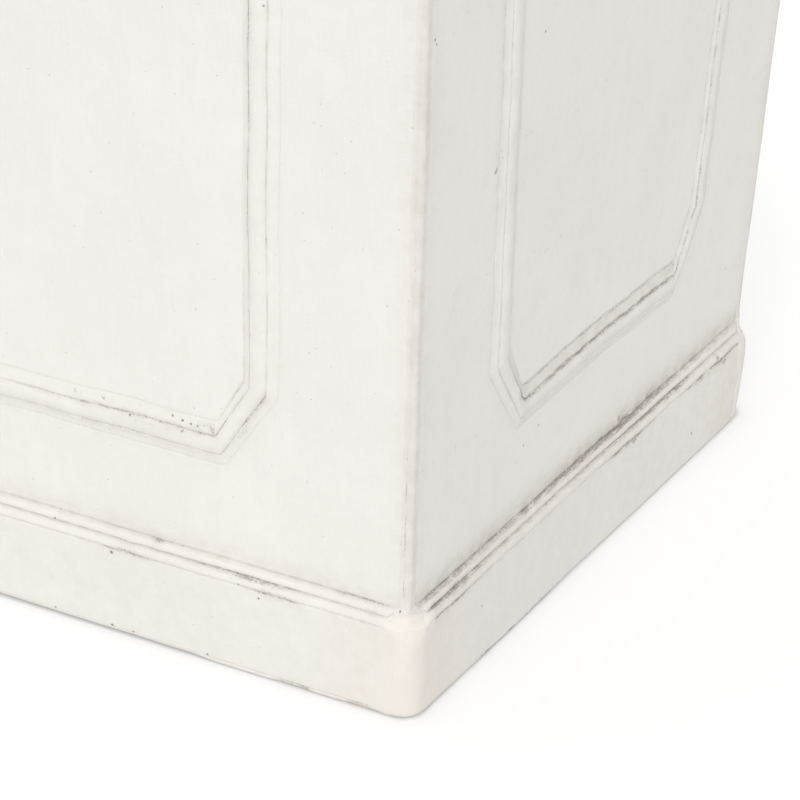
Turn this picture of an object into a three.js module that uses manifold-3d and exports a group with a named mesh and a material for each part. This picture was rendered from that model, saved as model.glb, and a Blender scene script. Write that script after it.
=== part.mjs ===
// A tall square planter of cast panels, in millimetres, +Z up.
// The origin is on the floor, in the middle of the footprint. The front wall faces -Y.
// Four mitred wall panels stand round a base slab. Mortar fills the corners, and a rubber
// bung closes the drain hole.

import * as THREE from 'three';
import { mergeVertices } from 'three/addons/utils/BufferGeometryUtils.js';
import Module from 'manifold-3d';

const wasm = await Module();
wasm.setup();

// ---------------------------------------------------------------- driving dimensions

// The whole planter
const overallHeight = 610;
const plinthWidth = 400; // across the planter at the floor
const rimWidth = 457; // across the rim
const wallThickness = 18;

// Plinth and rim, which mirror each other
const plinthHeight = 51.3; // plain band, up to its moulding
const plinthLean = 0.0406; // how far the band leans outward, as a share of its height
const plinthStep = 6.3; // how far the body stands back from the plinth
const rimHeight = 51; // plain band, down to its moulding
const rimStep = 6.3;
const beadHeight = 4.9; // one of the two beads that step from band to body
const beadBulge = 1.3; // how far a bead swells past the step's slope
const beadCount = 2;
const bottomEdgeRadius = 1.5;
const rimEdgeRadius = 6;
const lipEdgeRadius = 4; // inner edge of the rim

// Panel frame, raised on each face
const frameSideMargin = 75.6; // body edge to the frame's outer line, along the face
const frameBottom = 115.4; // floor to the frame's outer line
const frameTopMargin = 114; // the frame's outer line to the top of the planter
const frameClipAcross = 31; // clipped corner of the outer line, along the face
const frameClipUp = 46; // the same, up the face
const fieldClipAcross = 15; // clipped corner of the field inside the frame
const fieldClipUp = 28;
const coveWidth = 6.2; // the hollow slope on both sides of the ridge
const coveRise = 2.9; // where a slope ends, above the face
const ridgeWidth = 10.1;
const ridgeRise = 4.1;
const frameGrooveRise = 2.3; // bottom of the grooves beside the ridge
const grooveHalf = 0.5; // half the width of such a groove

// Inside
const ledgeWidth = 17; // how far the foot of a wall reaches in under the slab
const ledgeHeight = 30;
const slabThickness = 25;

// Corners
const mitreJointWidth = 6;
const arrisRadius = 3.5;
const capReach = 20; // how far a corner cap reaches along each face
const capRadius = 12;
const capShoulder = 8; // height of the slope that ends a cap against the body
const filletLeg = 10; // mortar fillet in the corner inside
const filletTopMargin = 28; // top of the fillet to the top of the planter

// Drain
const drainHoleRadius = 12.5;
const plugFlangeRadius = 18;
const plugFlangeThickness = 4;
const plugLength = 20; // the bung below its flange
const plugTaper = 1.2; // how much slimmer the bung's end is

// Clearances
const jointGap = 0.3; // between parts that touch
const slabClearance = 0.6; // round the edge of the slab
const plugClearance = 0.3;

// Facets
const arcSteps = 6;
const beadSteps = 6;
const lathePoints = 40;

// Only to make cuts and overlaps longer than the part
const overrun = 20;
const sunk = 4; // how deep a raised moulding is rooted in its wall

// ---------------------------------------------------------------- sizes that follow

const beadsHeight = beadCount * beadHeight;
const bodyBottom = plinthHeight + beadsHeight;
const rimBottom = overallHeight - rimHeight;
const bodyTop = rimBottom - beadsHeight;
const mitreHalf = mitreJointWidth / 2;
const frameWidth = 2 * coveWidth + ridgeWidth;

// Half of the planter's width at a height: over the plinth, over the walls and inside them
const rimHalf = rimWidth / 2;
const plinthHalf = (z) => plinthWidth / 2 + plinthLean * z;
const bodyBottomHalf = plinthHalf(plinthHeight) - plinthStep;
const bodyTopHalf = rimHalf - rimStep;
const bodyLean = (bodyTopHalf - bodyBottomHalf) / (bodyTop - bodyBottom);
const bodyHalf = (z) => bodyBottomHalf + bodyLean * (z - bodyBottom);
const innerHalf = (z) => bodyHalf(z) - wallThickness;
const footInnerHalf = innerHalf(ledgeHeight) - ledgeWidth;

// ---------------------------------------------------------------- solids

// A closed geometry as a solid that can be cut and joined
function solid(geometry) {
  const bare = geometry.clone();
  bare.deleteAttribute('normal');
  bare.deleteAttribute('uv');
  const merged = mergeVertices(bare, 1e-4);
  return new wasm.Manifold(
    new wasm.Mesh({
      numProp: 3,
      vertProperties: new Float32Array(merged.attributes.position.array),
      triVerts: new Uint32Array(merged.index.array),
    }),
  );
}

function geometryOf(manifold) {
  const mesh = manifold.getMesh();
  const geometry = new THREE.BufferGeometry();
  geometry.setAttribute('position', new THREE.BufferAttribute(new Float32Array(mesh.vertProperties), 3));
  geometry.setIndex(new THREE.BufferAttribute(new Uint32Array(mesh.triVerts), 1));
  geometry.computeVertexNormals();
  return geometry;
}

// A closed skin over rings of points. The rings have equal counts and follow one another,
// each counterclockwise as seen from the last ring's side.
function loft(rings) {
  const count = rings[0].length;
  const positions = rings.flat().flatMap((point) => point.toArray());
  const index = [];
  for (let ring = 0; ring < rings.length - 1; ring += 1) {
    for (let i = 0; i < count; i += 1) {
      const a = ring * count + i;
      const b = ring * count + ((i + 1) % count);
      index.push(a, b, b + count, a, b + count, a + count);
    }
  }
  const last = (rings.length - 1) * count;
  for (let i = 1; i < count - 1; i += 1) {
    index.push(0, i + 1, i);
    index.push(last, last + i, last + i + 1);
  }
  const geometry = new THREE.BufferGeometry();
  geometry.setAttribute('position', new THREE.Float32BufferAttribute(positions, 3));
  geometry.setIndex(index);
  return geometry;
}

// A section drawn as (distance out from the centre, height), extruded along the front wall
function alongFront(section, length) {
  const geometry = new THREE.ExtrudeGeometry(section, { depth: length, bevelEnabled: false });
  const outIsFront = new THREE.Matrix4().makeBasis(
    new THREE.Vector3(0, -1, 0),
    new THREE.Vector3(0, 0, 1),
    new THREE.Vector3(-1, 0, 0),
  );
  geometry.translate(0, 0, -length / 2);
  return geometry.applyMatrix4(outIsFront);
}

// A plan outline extruded upward from z = bottom to z = top
function upright(outline, bottom, top) {
  const geometry = new THREE.ExtrudeGeometry(new THREE.Shape(outline), {
    depth: top - bottom,
    bevelEnabled: false,
  });
  return geometry.translate(0, 0, bottom);
}

// A square in plan, as one ring of a loft
function sharpRing(half, z) {
  return [
    new THREE.Vector3(half, -half, z),
    new THREE.Vector3(half, half, z),
    new THREE.Vector3(-half, half, z),
    new THREE.Vector3(-half, -half, z),
  ];
}

// The same with rounded corners
function squareRing(half, radius, z) {
  const ring = [];
  for (let corner = 0; corner < 4; corner += 1) {
    const start = (corner - 1) * (Math.PI / 2);
    const centre = new THREE.Vector2(half - radius, -(half - radius));
    centre.rotateAround(new THREE.Vector2(), corner * (Math.PI / 2));
    for (let i = 0; i <= arcSteps; i += 1) {
      const angle = start + (i / arcSteps) * (Math.PI / 2);
      const x = centre.x + radius * Math.cos(angle);
      const y = centre.y + radius * Math.sin(angle);
      ring.push(new THREE.Vector3(x, y, z));
    }
  }
  return ring;
}

// ---------------------------------------------------------------- mouldings

// The points of a bead between two points of a section, swelling to the left of the way
function beadPoints(from, to, bulge) {
  const along = to.clone().sub(from);
  const left = new THREE.Vector2(-along.y, along.x).normalize();
  const points = [];
  for (let i = 1; i <= beadSteps; i += 1) {
    const t = i / beadSteps;
    const swell = bulge * Math.sin(Math.PI * t);
    points.push(from.clone().addScaledVector(along, t).addScaledVector(left, swell));
  }
  return points;
}

// The beads that step from a band to the body, as points of a section
function steppedBeads(from, to, side) {
  const points = [];
  for (let bead = 0; bead < beadCount; bead += 1) {
    const start = from.clone().lerp(to, bead / beadCount);
    const end = from.clone().lerp(to, (bead + 1) / beadCount);
    points.push(...beadPoints(start, end, side * beadBulge));
  }
  return points;
}

// The plinth's moulding, rooted in the wall behind it
function plinthSection() {
  const band = new THREE.Vector2(plinthHalf(plinthHeight), plinthHeight);
  const body = new THREE.Vector2(bodyHalf(bodyBottom), bodyBottom);
  const section = new THREE.Shape();
  section.moveTo(bodyHalf(0) - sunk, 0);
  section.lineTo(plinthHalf(0) - bottomEdgeRadius, 0);
  section.lineTo(plinthHalf(bottomEdgeRadius), bottomEdgeRadius);
  section.lineTo(band.x, band.y);
  steppedBeads(band, body, -1).forEach((point) => section.lineTo(point.x, point.y));
  section.lineTo(bodyHalf(bodyBottom) - sunk, bodyBottom);
  return section;
}

// The rim's moulding, with its rounded outer edge
function rimSection() {
  const body = new THREE.Vector2(bodyHalf(bodyTop), bodyTop);
  const band = new THREE.Vector2(rimHalf, rimBottom);
  const section = new THREE.Shape();
  section.moveTo(bodyHalf(bodyTop) - sunk, bodyTop);
  section.lineTo(body.x, body.y);
  steppedBeads(body, band, -1).forEach((point) => section.lineTo(point.x, point.y));
  section.lineTo(rimHalf, overallHeight - rimEdgeRadius);
  section.absarc(
    rimHalf - rimEdgeRadius, overallHeight - rimEdgeRadius, rimEdgeRadius, 0, Math.PI / 2, false,
  );
  section.lineTo(bodyHalf(bodyTop) - sunk, overallHeight);
  return section;
}

// The plain wall: leaning faces, the ledge for the slab and the rounded inner lip.
// Along the mitre's diagonal the same section is stretched, and reaches further in.
function wallSection(stretch = 1, furtherIn = 0) {
  const outside = (z) => new THREE.Vector2(bodyHalf(z) * stretch, z);
  const inside = (out, z) => new THREE.Vector2(out * stretch - furtherIn, z);
  const lip = innerHalf(overallHeight) + lipEdgeRadius;
  const points = [inside(footInnerHalf, 0), outside(0), outside(overallHeight)];
  for (let i = 0; i <= arcSteps; i += 1) {
    const angle = Math.PI / 2 + (i / arcSteps) * (Math.PI / 2);
    const z = overallHeight - lipEdgeRadius + lipEdgeRadius * Math.sin(angle);
    points.push(inside(lip + lipEdgeRadius * Math.cos(angle), z));
  }
  points.push(inside(innerHalf(ledgeHeight), ledgeHeight), inside(footInnerHalf, ledgeHeight));
  return new THREE.Shape(points);
}

// One line of the panel frame: a rectangle with clipped corners, drawn on the leaning face
// at a distance inside the frame's outer line and at a rise above the face
function frameRing(inside, rise) {
  const share = inside / frameWidth;
  const clipAcross = THREE.MathUtils.lerp(frameClipAcross, fieldClipAcross, share);
  const clipUp = THREE.MathUtils.lerp(frameClipUp, fieldClipUp, share);
  const bottom = frameBottom + inside;
  const top = overallHeight - frameTopMargin - inside;
  const side = (z) => bodyHalf(z) - frameSideMargin - inside;
  const onFace = (x, z) => new THREE.Vector3(x, -bodyHalf(z) - rise, z);
  const right = [
    onFace(side(bottom) - clipAcross, bottom),
    onFace(side(bottom + clipUp), bottom + clipUp),
    onFace(side(top - clipUp), top - clipUp),
    onFace(side(top) - clipAcross, top),
  ];
  const left = right.map((point) => new THREE.Vector3(-point.x, point.y, point.z)).reverse();
  return [...right, ...left];
}

// The panel frame's profile, as points (distance inside the outer line, rise above the face):
// a hollow slope, a groove, a rounded ridge, and the same again to the field
function frameProfile() {
  const slope = [];
  for (let i = 0; i <= beadSteps; i += 1) {
    const t = i / beadSteps;
    slope.push(new THREE.Vector2(coveWidth * t, coveRise * (1 - Math.cos((Math.PI / 2) * t))));
  }
  const ridge = [];
  for (let i = 0; i <= 2 * beadSteps; i += 1) {
    const t = i / (2 * beadSteps);
    const swell = (ridgeRise - frameGrooveRise) * Math.sin(Math.PI * t);
    const across = THREE.MathUtils.lerp(grooveHalf, ridgeWidth - grooveHalf, t);
    ridge.push(new THREE.Vector2(coveWidth + across, frameGrooveRise + swell));
  }
  const fall = slope.map((point) => new THREE.Vector2(frameWidth - point.x, point.y)).reverse();
  return [...slope, ...ridge, ...fall];
}

// The panel frame: its profile swept round the clipped rectangle, and closed inside the wall
function frameGeometry() {
  const rings = frameProfile().map((point) => frameRing(point.x, point.y));
  return tube([frameRing(0, -sunk), ...rings, frameRing(frameWidth, -sunk)]);
}

// A closed skin over rings that return to the first one
function tube(rings) {
  const count = rings[0].length;
  const positions = rings.flat().flatMap((point) => point.toArray());
  const index = [];
  for (let ring = 0; ring < rings.length; ring += 1) {
    const next = ((ring + 1) % rings.length) * count;
    for (let i = 0; i < count; i += 1) {
      const j = (i + 1) % count;
      const a = ring * count + i;
      const b = ring * count + j;
      index.push(a, b, next + j, a, next + j, next + i);
    }
  }
  const geometry = new THREE.BufferGeometry();
  geometry.setAttribute('position', new THREE.Float32BufferAttribute(positions, 3));
  geometry.setIndex(index);
  return geometry;
}

// ---------------------------------------------------------------- the parts

// A cast wall panel, as it stands at the front
function wallGeometry() {
  const reach = rimHalf + overrun;
  const plinthLength = plinthWidth - 2 * capReach;
  const rimLength = 2 * (rimHalf - capReach);
  const cut = mitreHalf * Math.SQRT2;
  const betweenMitres = upright(
    [
      new THREE.Vector2(0, -cut),
      new THREE.Vector2(-reach, -reach - cut),
      new THREE.Vector2(reach, -reach - cut),
    ],
    -overrun,
    overallHeight + overrun,
  );
  return geometryOf(
    solid(alongFront(wallSection(), 2 * reach))
      .intersect(solid(betweenMitres))
      .add(solid(alongFront(plinthSection(), plinthLength)))
      .add(solid(alongFront(rimSection(), rimLength)))
      .add(solid(frameGeometry())),
  );
}

// A band round the whole planter, of which a corner cap is a piece: rings of a loft
function plinthEnvelope() {
  const shoulderTop = bodyBottom + capShoulder;
  return loft([
    squareRing(plinthHalf(0), capRadius, 0),
    squareRing(plinthHalf(plinthHeight), capRadius, plinthHeight),
    squareRing(bodyHalf(bodyBottom) + beadBulge, capRadius, bodyBottom),
    squareRing(bodyHalf(shoulderTop), arrisRadius, shoulderTop),
  ]);
}

function rimEnvelope() {
  const shoulderBottom = bodyTop - capShoulder;
  const edge = rimEdgeRadius * (1 - Math.SQRT1_2);
  return loft([
    squareRing(bodyHalf(shoulderBottom), arrisRadius, shoulderBottom),
    squareRing(bodyHalf(bodyTop) + beadBulge, capRadius, bodyTop),
    squareRing(rimHalf, capRadius, rimBottom),
    squareRing(rimHalf, capRadius, overallHeight - rimEdgeRadius),
    squareRing(rimHalf - edge, capRadius, overallHeight - edge),
    squareRing(rimHalf - rimEdgeRadius, capRadius, overallHeight),
  ]);
}

// The mortar in the front right corner: a tongue, a fillet inside and two caps outside
function cornerFillGeometry() {
  const across = mitreHalf - jointGap;
  const top = overallHeight;
  const slot = solid(
    new THREE.BoxGeometry(2 * across, 4 * rimHalf, top + 2 * overrun)
      .translate(0, -2 * rimHalf, top / 2)
      .rotateZ(Math.PI / 4),
  );
  const tongueSection = solid(
    alongFront(wallSection(Math.SQRT2, mitreHalf), 2 * across).rotateZ(Math.PI / 4),
  );
  const body = solid(
    loft([squareRing(bodyHalf(0), arrisRadius, 0), squareRing(bodyHalf(top), arrisRadius, top)]),
  );
  const tongue = tongueSection.intersect(body);

  const bothWalls = solid(
    loft([
      sharpRing(bodyHalf(-overrun) + jointGap, -overrun),
      sharpRing(bodyHalf(top + overrun) + jointGap, top + overrun),
    ]),
  ).subtract(slot);
  const cap = (envelope, outerHalf) => {
    const inner = outerHalf - capReach + jointGap;
    const cornerBox = new THREE.BoxGeometry(2 * overrun + capReach, 2 * overrun + capReach, 4 * top);
    cornerBox.translate(inner + overrun + capReach / 2, -(inner + overrun + capReach / 2), 0);
    return solid(envelope).intersect(solid(cornerBox)).subtract(bothWalls);
  };

  const filletRing = (z) => {
    const edge = innerHalf(z) - jointGap;
    return [
      new THREE.Vector3(edge - filletLeg, -edge, z),
      new THREE.Vector3(edge, -edge, z),
      new THREE.Vector3(edge, -(edge - filletLeg), z),
    ];
  };
  const filletBottom = ledgeHeight + jointGap;
  const fillet = solid(loft([filletRing(filletBottom), filletRing(top - filletTopMargin)]));

  return geometryOf(
    tongue
      .add(cap(plinthEnvelope(), plinthWidth / 2))
      .add(cap(rimEnvelope(), rimHalf))
      .add(fillet),
  );
}

// The floor: a plate that tapers with the walls, clipped at the fillets, with its drain hole
function slabGeometry() {
  const bottom = ledgeHeight + jointGap;
  const top = bottom + slabThickness;
  const clip = filletLeg + jointGap + slabClearance;
  const ring = (z) => {
    const half = innerHalf(z) - slabClearance;
    const points = [];
    for (let corner = 0; corner < 4; corner += 1) {
      const pair = [new THREE.Vector3(half - clip, -half, z), new THREE.Vector3(half, clip - half, z)];
      points.push(...pair.map((p) => p.applyAxisAngle(new THREE.Vector3(0, 0, 1), corner * (Math.PI / 2))));
    }
    return points;
  };
  const hole = new THREE.CylinderGeometry(drainHoleRadius, drainHoleRadius, top + overrun, lathePoints);
  hole.rotateX(Math.PI / 2).translate(0, 0, top / 2);
  return geometryOf(solid(loft([ring(bottom), ring(top)])).subtract(solid(hole)));
}

// The bung: a slightly domed flange over a tapered plug
function plugGeometry() {
  const seat = ledgeHeight + jointGap + slabThickness + jointGap;
  const neck = drainHoleRadius - plugClearance;
  const edge = plugFlangeThickness / 2;
  const profile = [
    new THREE.Vector2(0, seat - plugLength),
    new THREE.Vector2(neck - plugTaper - 1, seat - plugLength),
    new THREE.Vector2(neck - plugTaper, seat - plugLength + 1),
    new THREE.Vector2(neck, seat),
    new THREE.Vector2(plugFlangeRadius, seat),
    new THREE.Vector2(plugFlangeRadius, seat + edge),
    new THREE.Vector2(plugFlangeRadius - edge, seat + plugFlangeThickness),
    new THREE.Vector2(0, seat + plugFlangeThickness + 1),
  ];
  const geometry = new THREE.LatheGeometry(profile, lathePoints);
  geometry.rotateX(Math.PI / 2);
  return geometryOf(solid(geometry));
}

// ---------------------------------------------------------------- materials

const castWhite = new THREE.MeshStandardMaterial({ color: 0xf3efe8, roughness: 0.85, metalness: 0 });
const fillWhite = new THREE.MeshStandardMaterial({ color: 0xf1e9dd, roughness: 0.9, metalness: 0 });
const slabGrey = new THREE.MeshStandardMaterial({ color: 0xcfcbc2, roughness: 0.95, metalness: 0 });
const rubberBlack = new THREE.MeshStandardMaterial({ color: 0x2b2b2b, roughness: 0.7, metalness: 0 });

// ---------------------------------------------------------------- assembly

const planter = new THREE.Group();

function place(name, geometry, material, quarterTurns = 0) {
  const mesh = new THREE.Mesh(geometry, material);
  mesh.name = name;
  mesh.rotation.z = quarterTurns * (Math.PI / 2);
  planter.add(mesh);
}

const sides = ['front', 'right', 'back', 'left'];
const corners = ['front_right', 'back_right', 'back_left', 'front_left'];
const wall = wallGeometry();
const cornerFill = cornerFillGeometry();
sides.forEach((side, turn) => place(`wall_${side}`, wall, castWhite, turn));
corners.forEach((corner, turn) => place(`corner_fill_${corner}`, cornerFill, fillWhite, turn));
place('base_slab', slabGeometry(), slabGrey);
place('drain_plug', plugGeometry(), rubberBlack);

export default planter;
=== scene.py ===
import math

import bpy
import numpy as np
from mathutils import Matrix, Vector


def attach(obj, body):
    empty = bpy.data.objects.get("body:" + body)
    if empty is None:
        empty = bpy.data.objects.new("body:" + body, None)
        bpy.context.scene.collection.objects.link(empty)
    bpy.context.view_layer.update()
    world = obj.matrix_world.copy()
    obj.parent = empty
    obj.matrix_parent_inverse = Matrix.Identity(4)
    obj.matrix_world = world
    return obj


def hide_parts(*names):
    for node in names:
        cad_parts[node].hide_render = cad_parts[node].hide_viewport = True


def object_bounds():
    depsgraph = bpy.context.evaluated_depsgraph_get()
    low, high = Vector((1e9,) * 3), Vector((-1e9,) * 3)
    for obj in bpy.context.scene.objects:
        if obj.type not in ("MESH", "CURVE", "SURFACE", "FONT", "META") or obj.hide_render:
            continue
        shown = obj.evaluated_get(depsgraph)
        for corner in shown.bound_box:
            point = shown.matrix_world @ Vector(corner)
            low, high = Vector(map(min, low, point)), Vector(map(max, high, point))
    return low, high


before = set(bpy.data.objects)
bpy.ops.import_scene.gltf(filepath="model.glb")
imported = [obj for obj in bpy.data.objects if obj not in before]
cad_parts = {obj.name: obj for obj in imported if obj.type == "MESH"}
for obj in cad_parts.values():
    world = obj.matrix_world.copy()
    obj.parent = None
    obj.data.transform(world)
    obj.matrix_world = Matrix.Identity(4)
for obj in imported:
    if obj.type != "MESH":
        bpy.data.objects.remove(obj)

# A tall square planter of cast panels with a brushed antique white coating.
# Lengths are in millimetres until a mesh is made, and +Z is up. A wall is built as the front
# one, in the coordinates (x along the wall, out from the middle of the planter, z up), and
# turned to its side. m is the distance along a face from the corner nearest the camera.

MM = 0.001
cad_low, cad_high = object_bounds()

# ---------------------------------------------------------------- sizes

# The whole planter, from the frame
HEIGHT = cad_high.z / MM
RIM_HALF = cad_high.x / MM

# Plinth and rim
PLINTH_HALF = 200.0            # at the floor
PLINTH_LEAN = 0.0406
BAND_TOP = 51.3                # top of the plinth's plain band
RIM_BAND = 51.0                # height of the rim's plain band
STEP = 6.3                     # from the band back to the body
BEAD_HEIGHT = 4.9
BEAD_BULGE = 1.5
GROOVE_DEPTH = 0.45            # of the grooves beside the beads
WALL = 18.0
BODY_BOTTOM = BAND_TOP + 2 * BEAD_HEIGHT
RIM_BOTTOM = HEIGHT - RIM_BAND
BODY_TOP = RIM_BOTTOM - 2 * BEAD_HEIGHT
RIM_EDGE = 6.0                 # radius of the rim's outer edge
LIP_EDGE = 4.0                 # and of its inner one

# Panel frame
FRAME_SIDE = 75.9              # edge of the body to the frame's outer line
FRAME_BOTTOM = 115.6
FRAME_TOP = HEIGHT - 114.0
OUTER_CLIP = (31.0, 46.0)      # clipped corner of the outer line: across and up
INNER_CLIP = (15.0, 28.0)      # and of the field
COVE = 6.4                     # width of the hollow slope on both sides of the ridge
RIDGE = 10.0
FRAME_WIDTH = 2 * COVE + RIDGE
COVE_RISE = 1.5
GROOVE_RISE = 1.2
RIDGE_RISE = 2.4
LINE_DEPTHS = {"D": 0.25, "C": 0.4, "B": 0.45, "A": 0.2}    # of the fine grooves

# Inside
LEDGE = 17.0
LEDGE_HEIGHT = 30.0
SLAB = 25.0
GAP = 0.3
COAT_END = (HEIGHT - 40, HEIGHT - 12)    # between these heights the coat runs out

# Corners
MITRE_CUT = 3.0 * math.sqrt(2)  # from the arris to a wall's end, along the face
ARRIS = 2.6                    # radius of the arris
BEAD_END = (11.0, 17.0)        # between these distances from a corner the beads swell out
CAP_RADIUS = 12.0              # radius of the plinth's and rim's corners
CAP_REACH = 22.0               # how far the mortar skin of a cap reaches along a face
SKIN_REACH = 5.6               # and between the caps
SKIN = 3.0                     # thickness of the skin
CAP_RECESS = 4.6               # how far a wall's band stands back under a cap
ARRIS_RECESS = 0.4             # and the end of its face under the skin
WORN_RADIUS = 5.0              # more radius at the foot of the corners away from the camera
WORN_RECESS = 3.0              # and what the walls' bands stand back for it
WORN_HEIGHT = 38.0             # where that wear starts
WORN_WHOLE = 5.0               # and where it's whole
SKIN_LIFT = 0.12               # how far a cap's skin stands proud of the walls
SKIN_SINK = 0.16               # and how far its edge lies in them
SKIN_ROUGHNESS = 0.10
TONGUE_DEPTH = 3.4             # from the body's face in to the tongue
FILLET = 10.0
FILLET_HOLLOW = 1.2
FILLET_TOP = HEIGHT - 28.0
SEAM_COVER = 0.6               # how much wider each side of the tongue is above its fillet

# Drain
HOLE_RADIUS = 12.5
PLUG_FLANGE = 18.0
PLUG_FLANGE_THICKNESS = 4.0
PLUG_LENGTH = 20.0


def plinth_half(z):
    return PLINTH_HALF + PLINTH_LEAN * z


BODY_LOW_HALF = plinth_half(BAND_TOP) - STEP
BODY_LEAN = (RIM_HALF - STEP - BODY_LOW_HALF) / (BODY_TOP - BODY_BOTTOM)


def body_half(z):
    return BODY_LOW_HALF + BODY_LEAN * (z - BODY_BOTTOM)


def inner_half(z):
    return body_half(z) - WALL


FOOT_HALF = inner_half(LEDGE_HEIGHT) - LEDGE
RIM_CENTRE = (RIM_HALF - RIM_EDGE, HEIGHT - RIM_EDGE)
LIP_CENTRE = (inner_half(HEIGHT) + LIP_EDGE, HEIGHT - LIP_EDGE)


# ---------------------------------------------------------------- small helpers

def ramp(value, start, end):
    """0 before start, 1 after end, smooth between; start may be the larger."""
    t = np.clip((np.asarray(value, float) - start) / (end - start), 0, 1)
    return t * t * (3 - 2 * t)


def bump(value, centre, width):
    return np.exp(-(((np.asarray(value, float) - centre) / width) ** 2))


def lerp(a, b, t):
    return a + (b - a) * t


def keyed(position, keys):
    """A value along a line from a few (position, value) pairs."""
    places, values = zip(*keys)
    return np.interp(position, places, values)


def at_caps(level, start, end):
    """0 on the body and 1 on the plinth's and the rim's bands, smooth between. It starts that
    far before the body ends, and is whole that far before the band begins."""
    low = ramp(level, BODY_BOTTOM + start, BAND_TOP + end)
    high = ramp(level, BODY_TOP - start, RIM_BOTTOM - end)
    return np.maximum(low, high)


def corner_radius(level, worn):
    """A corner's radius at a level; worn is 1 at the corners away from the camera."""
    radius = lerp(ARRIS, CAP_RADIUS, at_caps(level, 1.1, 4.7))
    return radius + worn * WORN_RADIUS * ramp(level, WORN_HEIGHT, WORN_WHOLE)


def cap_share(level):
    """0 between the caps, and 1 where a cap reaches its whole way along a face."""
    return at_caps(level, 1.5, -1.0)


class Waves:
    """A smooth random field of about unit strength: plane waves between two lengths."""

    def __init__(self, seed, shortest, longest, count=28):
        random = np.random.default_rng(seed)
        way = random.normal(size=(count, 3))
        way /= np.linalg.norm(way, axis=1)[:, None]
        length = np.exp(random.uniform(math.log(shortest), math.log(longest), count))
        self.wave = way * (2 * math.pi / length)[:, None]
        self.phase = random.uniform(0, 2 * math.pi, count)
        self.scale = math.sqrt(2 / count)

    def __call__(self, points):
        return np.sin(points @ self.wave.T + self.phase).sum(axis=-1) * self.scale


BROAD = Waves(11, 90, 220)
MIDDLE = Waves(12, 25, 60)
FINE = Waves(13, 6, 14)
GRITTY = Waves(14, 3.5, 7)


def unevenness(points):
    """How far a hand-finished surface lies off its true place."""
    return 0.22 * BROAD(points) + 0.07 * MIDDLE(points) + 0.02 * FINE(points)


def turned(points, quarter):
    """Points of the front side, (x, out, z), at their place on side number quarter."""
    x, out, z = points[..., 0], points[..., 1], points[..., 2]
    sides = [(x, -out), (out, x), (-x, out), (-out, -x)]
    return np.stack([*sides[quarter % 4], z], axis=-1)


# ---------------------------------------------------------------- mesh building

class Shell:
    """The points, marks and faces of one mesh while it's being built."""

    def __init__(self, *marks):
        self.points = []
        self.marks = {name: [] for name in marks}
        self.faces = []
        self.count = 0

    def add(self, points, **marks):
        """Adds an array of points and returns the array of their numbers."""
        shape = points.shape[:-1]
        size = int(np.prod(shape))
        self.points.append(points.reshape(-1, 3))
        for name, values in self.marks.items():
            given = np.broadcast_to(np.asarray(marks.get(name, 0.0), float), shape)
            values.append(given.reshape(-1))
        self.count += size
        return np.arange(self.count - size, self.count).reshape(shape)

    def quads(self, grid):
        """Faces over a grid of point numbers."""
        a, b = grid[:-1, :-1], grid[1:, :-1]
        c, d = grid[1:, 1:], grid[:-1, 1:]
        self.faces.extend(np.stack([a, b, c, d], axis=-1).reshape(-1, 4).tolist())

    def polygon(self, numbers):
        self.faces.append([int(n) for n in numbers])

    def piece(self, name, heights=None, floor=None, sharp=55):
        """The finished object. heights(points, marks) moves each point along its normal."""
        points = np.concatenate(self.points)
        marks = {key: np.concatenate(values) for key, values in self.marks.items()}
        mesh = bpy.data.meshes.new(name)
        mesh.from_pydata((points * MM).tolist(), [], self.faces)
        mesh.update()
        if heights is not None:
            normals = np.empty(len(points) * 3)
            mesh.vertex_normals.foreach_get("vector", normals)
            points = points + normals.reshape(-1, 3) * heights(points, marks)[:, None]
        if floor is not None:
            points[:, 2] = np.maximum(points[:, 2], floor)
        mesh.vertices.foreach_set("co", (points * MM).reshape(-1))
        for key, values in marks.items():
            mesh.attributes.new(key, "FLOAT", "POINT").data.foreach_set("value", values)
        mesh.shade_smooth()
        mesh.set_sharp_from_angle(angle=math.radians(sharp))
        mesh.update()
        made = bpy.data.objects.new(name, mesh)
        bpy.context.scene.collection.objects.link(made)
        return made


def place(piece, body, slot, material, *nodes):
    """Puts a finished piece on its body, in place of its nodes."""
    piece.data.materials.append(material)
    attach(piece, body)
    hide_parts(*nodes)


# ---------------------------------------------------------------- sections

# Steps along a bead, closer together beside the grooves
BEAD_STEPS = np.array([0, 0.05, 0.11, 0.2, 0.35, 0.5, 0.65, 0.8, 0.89, 0.95, 1])


def bead(start, end, bulge):
    """Points of a bead between two points of a section, swelling outward."""
    start, end = np.array(start), np.array(end)
    along = end - start
    side = np.array([abs(along[1]), -math.copysign(1, along[1]) * along[0]])
    side /= np.linalg.norm(along)
    t = BEAD_STEPS[:, None]
    return start + along * t + side * bulge * np.sin(math.pi * t) ** 0.8


def two_beads(start, end, bulge):
    middle = (np.array(start) + np.array(end)) / 2
    return np.concatenate([bead(start, middle, bulge)[:-1], bead(middle, end, bulge)])


def rows(*points):
    return np.array(points, float)


def arc(centre, radius, start, end, count):
    """Points of an arc of a section, in degrees up from straight outward."""
    angles = np.radians(np.linspace(start, end, count))
    return np.array(centre) + radius * np.stack([np.cos(angles), np.sin(angles)], axis=-1)


def outside_low(bulge):
    """The section from the foot of the body down to the plinth's bottom edge."""
    body = (body_half(BODY_BOTTOM), BODY_BOTTOM)
    band = (plinth_half(BAND_TOP), BAND_TOP)
    above = [(body_half(z), z) for z in (67, 65.2, 63.6, 62.4, 61.7)]
    below = [(plinth_half(z), z) for z in BAND_STOPS]
    return np.concatenate([rows(*above), two_beads(body, band, bulge), rows(*below)])


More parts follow.
